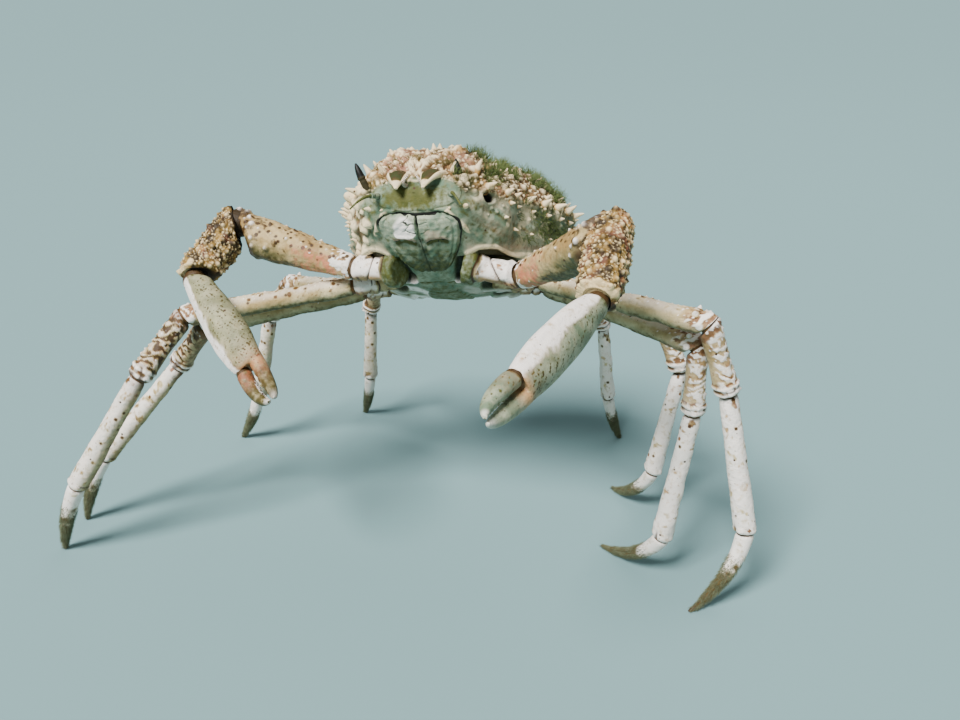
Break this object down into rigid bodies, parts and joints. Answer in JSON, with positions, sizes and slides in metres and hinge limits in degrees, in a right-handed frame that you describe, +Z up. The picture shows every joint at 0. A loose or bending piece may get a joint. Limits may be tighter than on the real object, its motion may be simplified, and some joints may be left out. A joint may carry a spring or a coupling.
{
  "type": "great spider crab, life-size model",
  "caption": "Life-size still model of a large male spider crab standing on its walking legs, body reared up and both claws reached forward.",
  "frame": {"origin": "on the floor, under the centre of the model's bounding box", "axes": "-Y the way the crab faces, +X its left side, +Z up; z = 0 is the floor that its leg tips stand on"},
  "size_m": [0.453, 0.3644, 0.2708],
  "materials": {
    "carapace": "rough, spiny shell with a film of algae",
    "shell": "satin shell with brown spots",
    "claw": "smooth, slightly glossy shell",
    "dactyl": "matt, covered in short felt",
    "underside": "satin",
    "mouth": "satin",
    "eye": "glossy"
  },
  "bodies": {
    "root": {"carapace": "carapace", "sternum": "underside", "abdomen": "underside", "maxilliped_left": "mouth", "maxilliped_right": "mouth", "eye_left": "eye", "eye_right": "eye", "antenna_left": "shell", "antenna_right": "shell", "cheliped_left_ischium": "claw", "cheliped_left_merus": "claw", "cheliped_left_carpus": "claw", "cheliped_left_palm": "claw", "cheliped_left_finger": "claw", "cheliped_right_ischium": "claw", "cheliped_right_merus": "claw", "cheliped_right_carpus": "claw", "cheliped_right_palm": "claw", "cheliped_right_finger": "claw", "leg_left_1_ischium": "shell", "leg_left_1_merus": "shell", "leg_left_1_carpus": "shell", "leg_left_1_propodus": "shell", "leg_left_1_dactylus": "dactyl", "leg_left_2_ischium": "shell", "leg_left_2_merus": "shell", "leg_left_2_carpus": "shell", "leg_left_2_propodus": "shell", "leg_left_2_dactylus": "dactyl", "leg_left_3_ischium": "shell", "leg_left_3_merus": "shell", "leg_left_3_carpus": "shell", "leg_left_3_propodus": "shell", "leg_left_3_dactylus": "dactyl", "leg_left_4_ischium": "shell", "leg_left_4_merus": "shell", "leg_left_4_carpus": "shell", "leg_left_4_propodus": "shell", "leg_left_4_dactylus": "dactyl", "leg_right_1_ischium": "shell", "leg_right_1_merus": "shell", "leg_right_1_carpus": "shell", "leg_right_1_propodus": "shell", "leg_right_1_dactylus": "dactyl", "leg_right_2_ischium": "shell", "leg_right_2_merus": "shell", "leg_right_2_carpus": "shell", "leg_right_2_propodus": "shell", "leg_right_2_dactylus": "dactyl", "leg_right_3_ischium": "shell", "leg_right_3_merus": "shell", "leg_right_3_carpus": "shell", "leg_right_3_propodus": "shell", "leg_right_3_dactylus": "dactyl", "leg_right_4_ischium": "shell", "leg_right_4_merus": "shell", "leg_right_4_carpus": "shell", "leg_right_4_propodus": "shell", "leg_right_4_dactylus": "dactyl"}
  },
  "joints": []
}
